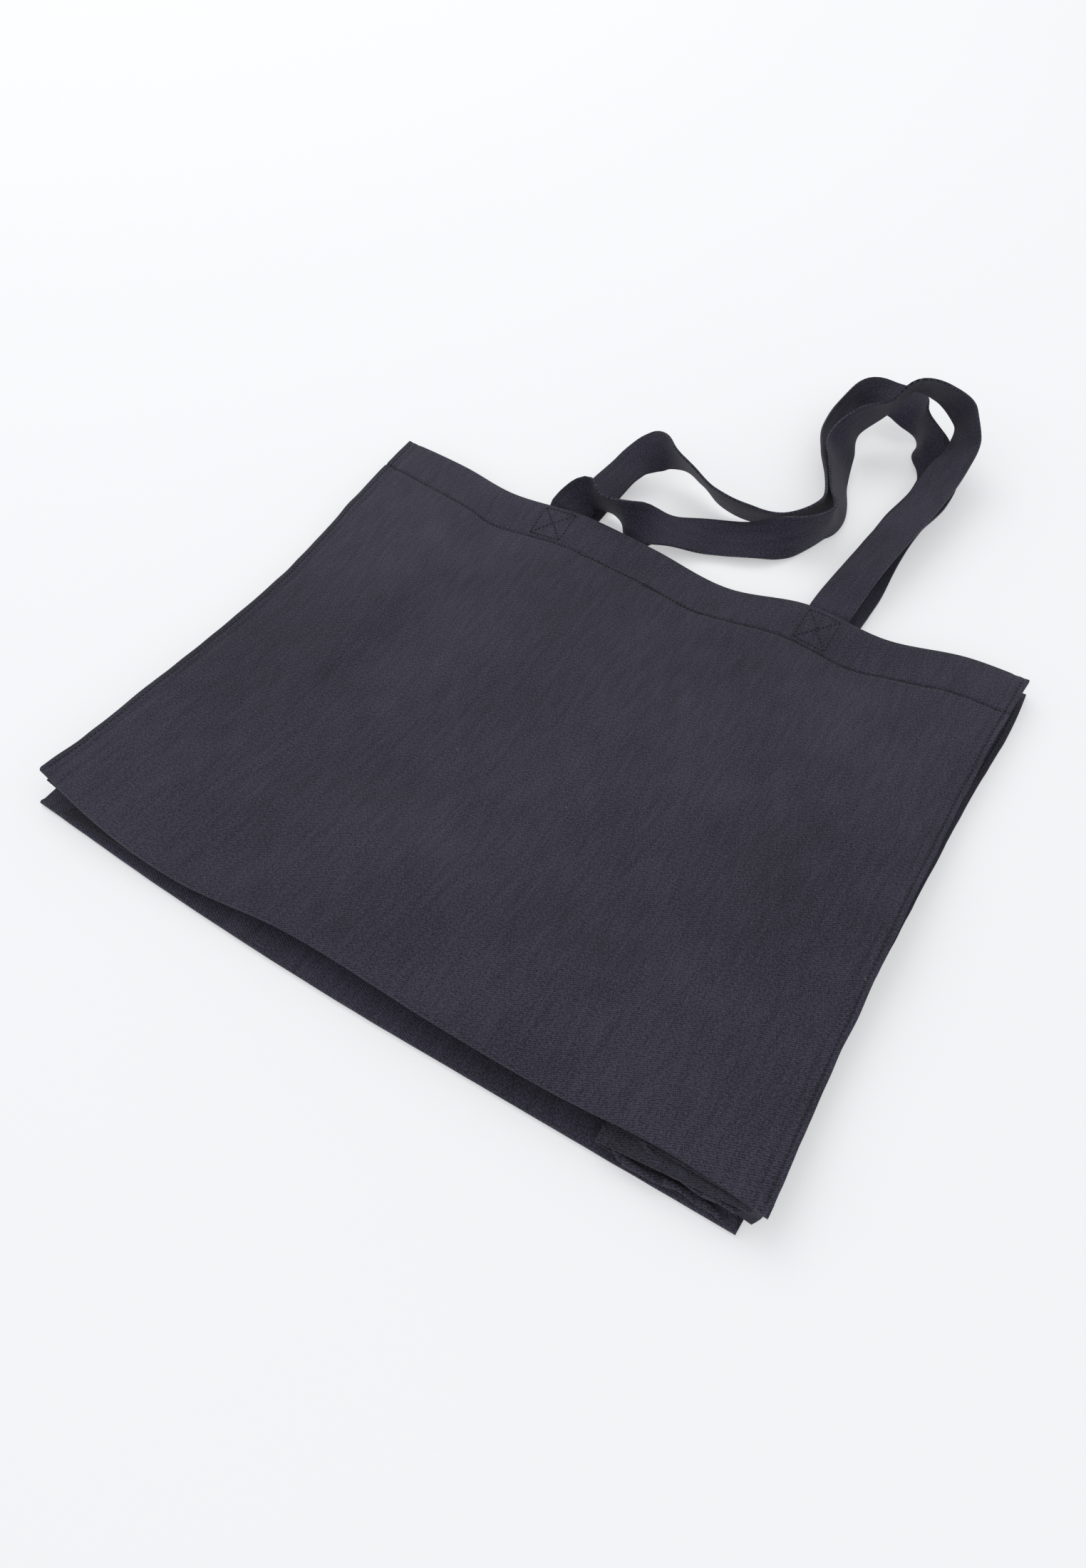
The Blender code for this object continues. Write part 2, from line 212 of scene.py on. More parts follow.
def through(stations, at):
    """A smooth line through (place, value) stations."""
    places, values = np.array(stations, float).T
    slopes = np.gradient(values, places)
    i = np.clip(np.searchsorted(places, at) - 1, 0, len(places) - 2)
    span = places[i + 1] - places[i]
    t = np.clip((at - places[i]) / span, 0, 1)
    h00, h10 = 2 * t**3 - 3 * t**2 + 1, t**3 - 2 * t**2 + t
    h01, h11 = 3 * t**2 - 2 * t**3, t**3 - t**2
    return h00 * values[i] + h10 * span * slopes[i] + h01 * values[i + 1] + h11 * span * slopes[i + 1]


def smooth_step(low, high, x):
    t = np.clip((x - low) / (high - low), 0, 1)
    return t * t * (3 - 2 * t)


def ripple(x, y, scale, seed):
    """A seeded smooth noise from -1 to 1 over the flat cloth."""
    return noise.noise(Vector((x * scale + seed * 7.3, y * scale - seed * 3.1, seed * 1.7)))


def spread(*bands):
    """Places along a side, from (start, end, spacing) bands."""
    places = []
    for start, end, spacing in bands:
        steps = max(1, round(abs(end - start) / spacing))
        places.extend(np.linspace(start, end, steps, endpoint=False))
    places.append(bands[-1][1])
    return np.array(places)


def new_piece(name, bm, material):
    mesh = bpy.data.meshes.new(name)
    bm.to_mesh(mesh)
    bm.free()
    mesh.materials.append(material)
    piece = bpy.data.objects.new(name, mesh)
    bpy.context.scene.collection.objects.link(piece)
    return piece


def grid_piece(name, us, vs, place, material, flip=False, stitch_shade_mask=None):
    """A grid whose point (i, j) goes to place(us[i], vs[j]); its UVs are the flat cloth."""
    bm = bmesh.new()
    bmesh.ops.create_grid(bm, x_segments=len(us) - 1, y_segments=len(vs) - 1, size=0.5)
    # Each point keeps how much painted shade darkens it along the stitches.
    stitch_shade_layer = bm.verts.layers.float.new("painted_stitch_shade")
    layer = bm.loops.layers.uv.new("flat_cloth")
    flat = {}
    for vert in bm.verts:
        i = round((vert.co.x + 0.5) * (len(us) - 1))
        j = round((vert.co.y + 0.5) * (len(vs) - 1))
        flat[vert.index] = (us[i], vs[j])
        vert.co = place(us[i], vs[j])
        if stitch_shade_mask:
            vert[stitch_shade_layer] = stitch_shade_mask(us[i], vs[j])
    bm.verts.index_update()
    for face in bm.faces:
        for loop in face.loops:
            loop[layer].uv = flat[loop.vert.index]
    if flip:
        bmesh.ops.reverse_faces(bm, faces=bm.faces)
    return new_piece(name, bm, material)


def settle(piece):
    """Keeps the mesh that the modifiers give, and drops the modifiers."""
    bpy.context.view_layer.update()
    graph = bpy.context.evaluated_depsgraph_get()
    mesh = bpy.data.meshes.new_from_object(piece.evaluated_get(graph))
    piece.modifiers.clear()
    piece.data = mesh
    mesh.shade_smooth()
    mesh.set_sharp_from_angle(angle=math.radians(50))
    return piece


def thicken(piece, thickness, rim=True, bevel=0.0):
    solid = piece.modifiers.new("Thickness", "SOLIDIFY")
    solid.thickness = thickness
    solid.offset = 0
    solid.use_rim = rim
    solid.use_even_offset = False
    if bevel:
        edge = piece.modifiers.new("Edge", "BEVEL")
        edge.width = bevel
        edge.segments = 2
        edge.limit_method = "ANGLE"
        edge.angle_limit = math.radians(60)
    return settle(piece)


# ---------------------------------------------------------------- the front panel's surface

# How far the mouth edge dips between its corners, and how high it lies.
MOUTH_SAG = [(-0.25, 0.0), (-0.19, -0.005), (-0.145, -0.0125), (-0.08, -0.006), (-0.02, -0.009),
             (0.045, -0.0165), (0.095, -0.006), (0.16, -0.0115), (0.21, 0.0), (0.25, 0.001)]
MOUTH_HEIGHT = [(-0.25, 0.0135), (-0.10, 0.0130), (0.05, 0.0085), (0.12, 0.0125), (0.25, 0.0140)]
# The fold along the bottom: how far it bulges out, and how high it lies.
BOTTOM_BULGE = [(-0.25, 0.002), (-0.20, -0.006), (-0.13, -0.0095), (-0.05, -0.0025), (0.06, -0.003),
                (0.13, -0.0015), (0.20, 0.0035), (0.25, 0.001)]
BOTTOM_HEIGHT = [(-0.25, 0.021), (-0.14, 0.012), (-0.04, 0.017), (0.10, 0.018), (0.25, 0.0185)]
# How far each side bows inwards.
LEFT_BOW = [(-0.20, -0.001), (-0.15, 0.0055), (-0.06, 0.0135), (0.02, 0.0125), (0.11, 0.0055),
            (0.20, -0.002)]
RIGHT_BOW = [(-0.20, 0.0), (-0.12, -0.003), (0.15, -0.003), (0.20, -0.0005)]


def front_point(u, v):
    """The front panel's outer cloth, at the place (u, v) of its flat cut."""
    t = (v + HALF_HEIGHT) / (2 * HALF_HEIGHT)
    s = (u + HALF_WIDTH) / (2 * HALF_WIDTH)
    mouth = smooth_step(0.55, 1.0, t) ** 1.3
    bottom = (1 - smooth_step(0.0, 0.45, t)) ** 1.3
    x = u + (1 - s) * through(LEFT_BOW, v) + s * through(RIGHT_BOW, v)
    y = v + mouth * through(MOUTH_SAG, u) + bottom * through(BOTTOM_BULGE, u)
    # Height: the two ends, then the middle, which lies lower between the folded gussets.
    ends = (1 - t) * through(BOTTOM_HEIGHT, u) + t * through(MOUTH_HEIGHT, u)
    inner = (1 - smooth_step(0.135, 0.172, abs(u) + 0.006 * ripple(u, v, 9, 4)))
    inner *= smooth_step(-0.135, -0.075, v + 0.010 * ripple(u, v, 8, 5))
    low = 0.0085 + 0.0012 * ripple(u, v, 7, 6)
    lowered = inner * (1 - smooth_step(0.155, 0.192, v))
    z = ends * (1 - lowered) + low * lowered
    # Broad soft waves, and slack pulled from the handles towards the lower corner.
    calm = smooth_step(0.0, 0.10, min(t, 1 - t) + 0.02)
    z += calm * (0.0026 * ripple(u, v, 11, 1) + 0.0012 * ripple(u, v, 24, 2))
    slant = u * 0.80 + v * 0.60
    pull = math.sin(slant * 42 + 2.2 * ripple(u, v, 6, 3))
    z += calm * 0.0021 * pull * (0.5 + 0.5 * ripple(u, v, 5, 8))
    # Puckers along the hem's stitches and the side seams.
    hem = HALF_HEIGHT - HEM_STITCH_DOWN - v
    z -= 0.0009 * math.exp(-((hem / 0.0013) ** 2))
    z += 0.0007 * ripple(u, v * 0.25, 95, 9) * math.exp(-((hem / 0.013) ** 2))
    edge = HALF_WIDTH - abs(u)
    z -= 0.0004 * math.exp(-(((edge - SEAM_STITCH_IN) / 0.0013) ** 2))
    z -= 0.0005 * math.exp(-(((edge - FLANGE - 0.001) / 0.0020) ** 2))
    z += 0.0007 * ripple(u * 0.3, v, 55, 12) * math.exp(-((edge / 0.016) ** 2))
    z += 0.0005 * ripple(u, v, 60, 14) * math.exp(-(((v + HALF_HEIGHT) / 0.02) ** 2))
    x += 0.0006 * ripple(u * 0.2, v, 48, 11) * math.exp(-((edge / 0.01) ** 2))
    return Vector((x, y, max(z, 0.0078)))


def front_normal(u, v, step=0.0015):
    across = front_point(u + step, v) - front_point(u - step, v)
    along = front_point(u, v + step) - front_point(u, v - step)
    return across.cross(along).normalized()


MOUTH_ROLL = 0.0009         # radius of the hem's fold at the mouth
REAR_MOUTH_ROLL = MOUTH_ROLL * 0.7
BOTTOM_ROLL = 0.0018        # radius of the bottom fold
ROLL_STEPS = 6


def front_sheet_point(u, way):
    """way runs from the hem's raw edge inside, over the mouth, down the panel and under."""
    hem_inside = HEM_RAW_EDGE
    mouth_arc = math.pi * MOUTH_ROLL
    panel = 2 * HALF_HEIGHT
    bottom_arc = math.pi * BOTTOM_ROLL
    if way < hem_inside:
        v = HALF_HEIGHT - HEM_RAW_EDGE + way
        return front_point(u, v) - 2 * MOUTH_ROLL * front_normal(u, v)
    way -= hem_inside
    if way < mouth_arc:
        turn = way / MOUTH_ROLL
        base = front_point(u, HALF_HEIGHT)
        depth = MOUTH_ROLL * (1 + math.cos(turn))
        return base + Vector((0, MOUTH_ROLL * math.sin(turn), 0)) - depth * front_normal(u, HALF_HEIGHT)
    way -= mouth_arc
    if way < panel:
        return front_point(u, HALF_HEIGHT - way)
    way -= panel
    base = front_point(u, -HALF_HEIGHT)
    if way < bottom_arc:
        turn = way / BOTTOM_ROLL
        return base + Vector((0, -BOTTOM_ROLL * math.sin(turn), -BOTTOM_ROLL * (1 - math.cos(turn))))
    way -= bottom_arc
    return base + Vector((0, way, -2 * BOTTOM_ROLL - 0.09 * way))


def make_front_panel():
    start = HEM_RAW_EDGE
    top = start + math.pi * MOUTH_ROLL
    low = top + 2 * HALF_HEIGHT
    end = low + math.pi * BOTTOM_ROLL
    hem_stitch = top + HEM_STITCH_DOWN
    ways = spread((0, start, 0.006), (start, top, math.pi * MOUTH_ROLL / ROLL_STEPS),
                  (top, hem_stitch - 0.003, 0.0028), (hem_stitch - 0.003, hem_stitch + 0.004, 0.0008),
                  (hem_stitch + 0.004, low - 0.012, 0.0034), (low - 0.012, low, 0.0015),
                  (low, end, math.pi * BOTTOM_ROLL / ROLL_STEPS), (end, end + 0.006, 0.002))
    edge = HALF_WIDTH
    fine = edge - 0.012
    us = spread((-edge, -fine, 0.0010), (-fine, fine, 0.0034), (fine, edge, 0.0010))

    def stitch_shade_mask(u, way):
        """How much painted shade darkens the cloth along the hem's and the side seams' stitches."""
        hem = math.exp(-(((way - hem_stitch) / 0.0010) ** 2))
        edge_in = HALF_WIDTH - abs(u)
        side = 0.40 * math.exp(-(((edge_in - SEAM_STITCH_IN) / 0.0009) ** 2))
        seam = 0.28 * math.exp(-(((edge_in - FLANGE - 0.0008) / 0.0012) ** 2))
        return max(hem, side, seam) if way > top else 0.0

    piece = grid_piece("front_panel_cloth", us, ways, front_sheet_point, CANVAS, flip=True,
                       stitch_shade_mask=stitch_shade_mask)
    return thicken(piece, CLOTH_THICK)


# ---------------------------------------------------------------- the rear panel and bottom

REAR_BOTTOM = [(-0.25, -0.011), (-0.13, -0.016), (0.0, -0.017), (0.10, -0.0145), (0.25, -0.010)]
REAR_RIGHT = [(-0.21, -0.0105), (-0.08, -0.0055), (0.10, -0.001), (0.17, 0.0025), (0.21, 0.0005)]
REAR_LEFT = [(-0.21, 0.003), (0.05, 0.003), (0.21, 0.0)]
REAR_ROLL = 0.0011
REAR_HALF_REACH = 0.0895


def rear_edges(u, v):
    s = (u + HALF_WIDTH) / (2 * HALF_WIDTH)
    x = u + (1 - s) * through(REAR_LEFT, v) + s * through(REAR_RIGHT, v)
    low = (1 - smooth_step(-HALF_HEIGHT, -0.06, v)) ** 1.5
    y = v + low * through(REAR_BOTTOM, u)
    y += smooth_step(0.09, HALF_HEIGHT, v) * (through(MOUTH_SAG, u) - 0.0006)
    return x, y


def rear_sheet_point(u, way):
    """From the hem's raw edge inside, over the mouth, along the floor and up the bottom."""
    hem_inside = HEM_RAW_EDGE
    mouth_arc = math.pi * REAR_MOUTH_ROLL
    panel = 2 * HALF_HEIGHT
    bottom_arc = math.pi * REAR_ROLL
    roll = REAR_MOUTH_ROLL
    if way < hem_inside:
        x, y = rear_edges(u, HALF_HEIGHT - HEM_RAW_EDGE + way)
        return Vector((x, y, REAR_Z + 2 * roll))
    way -= hem_inside
    if way < mouth_arc:
        turn = way / roll
        x, y = rear_edges(u, HALF_HEIGHT)
        return Vector((x, y + roll * math.sin(turn), REAR_Z + roll * (1 + math.cos(turn))))
    way -= mouth_arc
    if way < panel:
        x, y = rear_edges(u, HALF_HEIGHT - way)
        return Vector((x, y, REAR_Z))
    way -= panel
    x, y = rear_edges(u, -HALF_HEIGHT)
    if way < bottom_arc:
        turn = way / REAR_ROLL
        wave = 0.25 * REAR_ROLL * ripple(u, 0, 40, 21) * math.sin(turn)
        return Vector((x, y - REAR_ROLL * math.sin(turn) - abs(wave),
                       REAR_Z + REAR_ROLL * (1 - math.cos(turn))))
    way -= bottom_arc
    rise = (way / REAR_HALF_REACH)
    z = REAR_Z + 2 * REAR_ROLL + (FOLD_NOSE_Z - 0.0011 - REAR_Z - 2 * REAR_ROLL) * rise
    z += 0.0007 * ripple(u, way, 30, 22) * smooth_step(0.0, 0.02, way) * (1 - rise)
    pull = 1 - 0.18 * rise
    return Vector((x * pull, y + way * (FOLD_NOSE_Y - y) / REAR_HALF_REACH, z))


def make_rear_sheet():
    start = HEM_RAW_EDGE
    top = start + math.pi * REAR_MOUTH_ROLL
    low = top + 2 * HALF_HEIGHT
    end = low + math.pi * REAR_ROLL
    ways = spread((0, start, 0.006), (start, top, math.pi * REAR_MOUTH_ROLL / ROLL_STEPS),
                  (top, low, 0.006), (low, end, math.pi * REAR_ROLL / ROLL_STEPS),
                  (end, end + REAR_HALF_REACH, 0.004))
    us = spread((-HALF_WIDTH, HALF_WIDTH, 0.005))
    piece = grid_piece("rear_panel_and_bottom_cloth", us, ways, rear_sheet_point, CANVAS)
    return thicken(piece, CLOTH_THICK)


def make_bottom_front():
    """The bottom's front half, from under the front fold to the inner fold."""
    def place(u, way):
        base = front_point(u, -HALF_HEIGHT)
        rise = way / BOTTOM_FRONT_REACH
        z_edge = base.z - 2 * BOTTOM_ROLL - 0.0010
        z = z_edge + (FOLD_NOSE_Z + 0.0011 - z_edge) * rise
        z += 0.0005 * ripple(u, way, 30, 31) * (1 - rise)
        y = base.y - 0.0010
        narrowed = base.x * (1 - 0.30 * rise) * 0.985
        return Vector((narrowed, y + way * (FOLD_NOSE_Y - y) / BOTTOM_FRONT_REACH, z))

    us = spread((-HALF_WIDTH, HALF_WIDTH, 0.005))
    ways = spread((0, BOTTOM_FRONT_REACH, 0.004))
    piece = grid_piece("bottom_front_cloth", us, ways, place, INSIDE, flip=True)
    return thicken(piece, CLOTH_THICK)


# ---------------------------------------------------------------- gussets and seams


def make_gusset(side, sign):
    """Both halves of a side gusset, one cloth folded inwards between the two seams."""
    reach = GUSSET_REACH
    nose = NOSE_HALF_GAP

    def place(way, v):
        front = front_point(sign * (HALF_WIDTH - 0.004), v)
        front_edge = abs(front_point(sign * HALF_WIDTH, v).x)
        front_x = sign * min(front_edge - 0.0008, HALF_WIDTH - FLANGE)
        rear_edge, y = rear_edges(sign * HALF_WIDTH, v)
        rear_x = sign * min(abs(rear_edge) - 0.0008, HALF_WIDTH - FLANGE)
        y = max(y, rear_edges(sign * (HALF_WIDTH - FLANGE), -HALF_HEIGHT)[1] + 0.0004)
        low_z = REAR_Z + 0.0011
        high_z = front.z - 0.0024
        nose_x = sign * FOLD_NOSE_X
        settle_in = smooth_step(-HALF_HEIGHT, -0.12, v)
        nose_y = v - 0.007 * (1 - settle_in)
        if v > 0:
            nose_y = rear_edges(sign * FOLD_NOSE_X, v)[1]
        if way < 0:
            t = -way / reach
            x = nose_x + (rear_x - nose_x) * t
            z = FOLD_NOSE_Z - nose + (low_z - FOLD_NOSE_Z + nose) * t
            along = y * t + (1 - t) * nose_y
        else:
            t = way / reach
            x = nose_x + (front_x - nose_x) * t
            z = FOLD_NOSE_Z + nose + (high_z - FOLD_NOSE_Z - nose) * t
            along = front.y * t + (1 - t) * nose_y
        soft = math.exp(-((way / 0.0016) ** 2))
        x -= sign * 0.0010 * soft
        z += 0.0004 * ripple(way * 2, v, 30, 40 + sign) * (1 - soft) * (1 - abs(way) / reach)
        return Vector((x, along, z))

    ways = spread((-reach, -0.004, 0.0045), (-0.004, 0.004, 0.0008), (0.004, reach, 0.0045))
    vs = spread((-HALF_HEIGHT - GUSSET_DROP, HALF_HEIGHT, 0.006))
    piece = grid_piece(f"{side}_gusset_cloth", ways, vs, place, INSIDE, flip=sign < 0)
    return thicken(piece, CLOTH_THICK)


def make_flange(name, sign, surface, depth):
    """The second layer of a pinched side seam, a little uneven along its cut edge.

    depth is how far it lies above the panel's own layer, or below it when negative."""
    inner = HALF_WIDTH - FLANGE - 0.0008

    def place(u, v):
        x_in = min(HALF_WIDTH + 0.0006 * ripple(sign * 3, v, 60, 50 + depth * 1e4), u)
        return surface(sign * x_in, v) + Vector((0, 0, depth))

    us = spread((inner, HALF_WIDTH + 0.0004, 0.0014))
    vs = spread((-HALF_HEIGHT - 0.0008, HALF_HEIGHT + 0.0006, 0.004))
    piece = grid_piece(name, us, vs, place, CANVAS, flip=sign < 0)
    return thicken(piece, CLOTH_THICK * 0.95, bevel=0.0002)


# The turned-over lower seams of the right gusset: x, y, z of their middles.
REAR_RIDGE = [(0.160, -0.194, 0.009), (0.174, -0.2035, 0.008), (0.212, -0.2015, 0.005),
              (0.235, -0.2025, 0.003)]
FRONT_RIDGE = [(0.178, -0.190, 0.012), (0.187, -0.196, 0.012), (0.210, -0.1985, 0.011),
               (0.238, -0.1975, 0.0125)]


def make_ridge(name, route, seed, radius=0.0020):
    """A seam turned over on itself: a soft roll with a pinched, twisted look."""
    points = np.array(route)
    places = np.concatenate([[0], np.cumsum(np.linalg.norm(np.diff(points, axis=0), axis=1))])
    at = np.linspace(0, places[-1], round(places[-1] / 0.0009) + 1)
    middle = np.column_stack([through(np.column_stack([places, points[:, k]]), at) for k in range(3)])
    around = 14
    bm = bmesh.new()
    layer = bm.loops.layers.uv.new("flat_cloth")
    rings = []
    for i, centre in enumerate(middle):
        way = Vector(middle[min(i + 1, len(middle) - 1)] - middle[max(i - 1, 0)]).normalized()
        side = Vector((0, 0, 1)).cross(way).normalized()
        up = way.cross(side)
        ends = min(1.0, i * 0.25, (len(middle) - 1 - i) * 0.25) ** 0.5 + 0.05
        ring = []
        for k in range(around):
            turn = 2 * math.pi * k / around
            lobes = 1 + 0.20 * math.cos(2 * (turn - at[i] * 160)) + 0.12 * ripple(at[i], turn, 300, seed)
            reach = radius * ends * lobes
            ring.append(bm.verts.new(Vector(centre) + side * (reach * math.cos(turn))
                                     + up * (reach * 0.75 * math.sin(turn))))
        rings.append(ring)
    for i in range(len(rings) - 1):
        for k in range(around):
            n = (k + 1) % around
            face = bm.faces.new((rings[i][k], rings[i][n], rings[i + 1][n], rings[i + 1][k]))
            face.smooth = True
            for loop, (row, col) in zip(face.loops, ((i, k), (i, k + 1), (i + 1, k + 1), (i + 1, k))):
                loop[layer].uv = (at[row], col * 0.0007)
    bm.faces.new(list(reversed(rings[0])))
    bm.faces.new(rings[-1])
    bmesh.ops.recalc_face_normals(bm, faces=bm.faces)
    return new_piece(name, bm, CANVAS)


def make_corner_tuck():
    """The gusset's spare cloth at the right corner, turned down below the front's fold."""

    def place(a, t):
        x = 0.2475 - 0.017 * a - 0.0030 * t * t
        y = -0.1946 - 0.0042 * t + 0.0012 * a * t + 0.0008 * math.sin(math.pi * t)
        z = 0.0163 - 0.0012 * a - 0.0085 * t
        z += 0.0008 * ripple(a * 0.02, t * 0.02, 110, 95)
        return Vector((x, y, z))

    piece = grid_piece("right_corner_tuck", spread((0, 1, 0.1)), spread((0, 1, 0.1)), place, CANVAS)
    for loop_uv in piece.data.uv_layers["flat_cloth"].data:
        a, t = loop_uv.uv
        loop_uv.uv = (a * 0.017, t * 0.015)
    return thicken(piece, CLOTH_THICK, bevel=0.0002)


def rear_surface(u, v):
    x, y = rear_edges(u, v)
    return Vector((x, y, REAR_Z))


# ---------------------------------------------------------------- stitches


def stitch_rows(name, rows, radius=0.00050, length=0.0021):
    """Small raised stitches, each a softened box laid along its row of (point, normal)."""
    bm = bmesh.new()
    layer = bm.loops.layers.uv.new("flat_cloth")
    count = 0
    for row in rows:
        for (a, up_a), (b, up_b) in zip(row, row[1:]):
            way = b - a
            reach = way.length
            if reach < 1e-6:
                continue
            steps = max(1, round(reach / STITCH_PITCH))
            for k in range(steps):
                t = (k + 0.5) / steps
                centre = a + way * t
                up = (up_a * (1 - t) + up_b * t).normalized()
                x_axis = way.normalized()
                y_axis = up.cross(x_axis).normalized()
                z_axis = x_axis.cross(y_axis)
                count += 1
                skew = 0.10 * math.sin(count * 2.399)
                turn = Matrix((x_axis, y_axis, z_axis)).transposed().to_4x4()
                matrix = Matrix.Translation(centre + up * (radius * 0.35)) @ turn
                matrix = matrix @ Matrix.Rotation(skew, 4, "Z")
                made = bmesh.ops.create_icosphere(bm, subdivisions=1, radius=1.0)["verts"]
                size = Matrix.Diagonal((length / 2, radius * 1.15, radius, 1))
                bmesh.ops.transform(bm, verts=made, matrix=matrix @ size)
    for face in bm.faces:
        face.smooth = True
        for loop in face.loops:
            loop[layer].uv = (loop.vert.co.x, loop.vert.co.y)
    return new_piece(name, bm, THREAD)


def front_row(points, lift=CLOTH_THICK / 2):
    return [(front_point(u, v) + lift * front_normal(u, v), front_normal(u, v)) for u, v in points]


def rear_row(points, height):
    return [(Vector((*rear_edges(u, v), height)), Vector((0, 0, 1))) for u, v in points]


def straight(u0, v0, u1, v1, spacing=0.009):
    steps = max(1, round(math.hypot(u1 - u0, v1 - v0) / spacing))
    return [(u0 + (u1 - u0) * k / steps, v0 + (v1 - v0) * k / steps) for k in range(steps + 1)]


def box_rows(centre, width=0.024, height=0.027, below=0.0165):
    """A stitched square with its diagonals."""
    x0, x1 = centre - width / 2, centre + width / 2
    y0, y1 = HALF_HEIGHT - below - height / 2, HALF_HEIGHT - below + height / 2
    return [straight(x0, y0, x1, y0), straight(x1, y0, x1, y1), straight(x1, y1, x0, y1),
            straight(x0, y1, x0, y0), straight(x0, y0, x1, y1), straight(x0, y1, x1, y0)]


# ---------------------------------------------------------------- handles

# Each handle's route, a station at each bend: x, y, height of its lower edge, lean in degrees
# (0 flat, 90 upright).
FRONT_ROUTE = [
    # out from under the hem, folded over and laid along the mouth
    (-0.099, 0.158, 0.009, 0), (-0.099, 0.184, 0.008, 5), (-0.095, 0.196, 0.005, 35),
    (-0.089, 0.204, 0.004, 75), (-0.079, 0.204, 0.004, 110), (-0.065, 0.202, 0.004, 115),
    (-0.053, 0.200, 0.002, 90), (-0.042, 0.201, 0.003, 45), (-0.031, 0.204, 0.008, 15),
    (0.006, 0.219, 0.004, 15), (0.043, 0.234, 0.004, 25),
    # up the left side of the loop, on edge
    (0.065, 0.246, 0.0012, 80), (0.079, 0.265, 0.004, 95), (0.076, 0.287, 0.002, 65),
    (0.061, 0.323, 0.005, 55), (0.052, 0.349, 0.010, 45), (0.054, 0.373, 0.014, 95),
    # the raised top
    (0.071, 0.388, 0.027, 125), (0.086, 0.399, 0.044, 130), (0.106, 0.406, 0.037, 120),
    (0.125, 0.403, 0.025, 90), (0.133, 0.386, 0.017, 45),
    # back down the right side
    (0.132, 0.361, 0.018, 20), (0.130, 0.323, 0.015, 20), (0.123, 0.273, 0.015, 15),
    (0.118, 0.235, 0.012, 15), (0.114, 0.197, 0.009, 5), (0.114, 0.158, 0.009, 0),
]
REAR_ROUTE = [
    # out over the floor and up into the first fold
    (-0.092, 0.163, 0.002, 0), (-0.092, 0.202, 0.0012, 0), (-0.090, 0.228, 0.004, 0),
    (-0.083, 0.251, 0.012, 0), (-0.077, 0.260, 0.014, 15), (-0.070, 0.265, 0.013, 40),
    (-0.059, 0.266, 0.014, 80), (-0.047, 0.264, 0.015, 110), (-0.024, 0.256, 0.013, 120),
    (-0.003, 0.249, 0.007, 120), (0.021, 0.250, 0.002, 120), (0.046, 0.258, 0.0012, 125),
    # up the left side of the loop
    (0.064, 0.274, 0.0012, 105), (0.064, 0.300, 0.0012, 70), (0.050, 0.338, 0.0012, 50),
    (0.041, 0.363, 0.0012, 45), (0.038, 0.389, 0.0012, 55), (0.042, 0.413, 0.005, 65),
    # over the top, with one twist
    (0.050, 0.421, 0.011, 40), (0.062, 0.423, 0.016, 20), (0.075, 0.421, 0.014, 30),
    (0.086, 0.415, 0.008, 65), (0.095, 0.406, 0.005, 90), (0.103, 0.398, 0.002, 80),
    (0.110, 0.390, 0.002, 40), (0.118, 0.382, 0.004, 15), (0.125, 0.372, 0.0012, 0),
    # back down the right side, flat
    (0.127, 0.350, 0.0012, 0), (0.121, 0.307, 0.0012, 5), (0.120, 0.268, 0.0012, 5),
    (0.122, 0.228, 0.0015, 0), (0.121, 0.189, 0.002, 0), (0.121, 0.163, 0.002, 0),
]
ACROSS = np.array([-1, -0.93, -0.8, -0.5, -0.2, 0.2, 0.5, 0.8, 0.93, 1.0])


def strap_rise(lean):
    """Half the height that a strap takes up at this lean."""
    return STRAP_WIDE / 2 * abs(math.sin(lean)) + STRAP_THICK / 2 * abs(math.cos(lean))


def handle_rows(route, step=0.0025, lowest=0.0008):
    """Sections along a handle: centre, direction across the strap, and its face's normal."""
    rows = []
    for x, y, low, lean in route:
        angle = math.radians(lean)
        rows.append((x, y, low + strap_rise(angle), angle))
    points = np.array(rows)
    lengths = np.linalg.norm(np.diff(points[:, :3], axis=0), axis=1)
    places = np.concatenate([[0], np.cumsum(lengths)])
    at = np.linspace(0, places[-1], round(places[-1] / step) + 1)
    smooth = np.column_stack([through(np.column_stack([places, points[:, k]]), at) for k in range(4)])
    smooth[:, 2] = [max(z, lowest + strap_rise(lean)) for z, lean in smooth[:, 2:]]
    travel = np.gradient(smooth[:, :3], axis=0)
    sections = []
    for (x, y, z, lean), way, place in zip(smooth, travel, at):
        way = Vector(way).normalized()
        side = Vector((0, 0, 1)).cross(way).normalized()
        width = math.cos(lean) * side + math.sin(lean) * way.cross(side)
        sections.append((Vector((x, y, z)), width, way.cross(width).normalized(), place))
    return sections


def under_front_panel(point):
    """The highest a strap's middle may lie at this place, below the hem."""
    v = point.y - through(MOUTH_SAG, point.x) * smooth_step(0.09, HALF_HEIGHT, point.y)
    return front_point(point.x, min(v, HALF_HEIGHT)).z - 2 * MOUTH_ROLL - 0.0016


def make_handle(name, route, seed):
    sections = handle_rows(route)

    def place(a, i):
        centre, width, normal, at = sections[int(round(i))]
        half = STRAP_WIDE / 2 * a
        cup = 0.0004 * ripple(at, seed, 22, seed) * (1 - a * a)
        ruffle = 0.00035 * ripple(at, a, 70, seed + 3) * abs(a) ** 3
        point = centre + width * half + normal * (cup + ruffle)
        if name.startswith("front") and point.y < 0.190:
            point.z = min(point.z, under_front_panel(point))
        return point

    piece = grid_piece(name, ACROSS, np.arange(len(sections), dtype=float), place, STRAP)
    layer = piece.data.uv_layers["flat_cloth"]
    for loop_uv in layer.data:
        a, i = loop_uv.uv
        loop_uv.uv = (a * STRAP_WIDE / 2, sections[int(round(i))][3])
    return thicken(piece, STRAP_THICK, bevel=0.0007), sections


# ---------------------------------------------------------------- make the bag

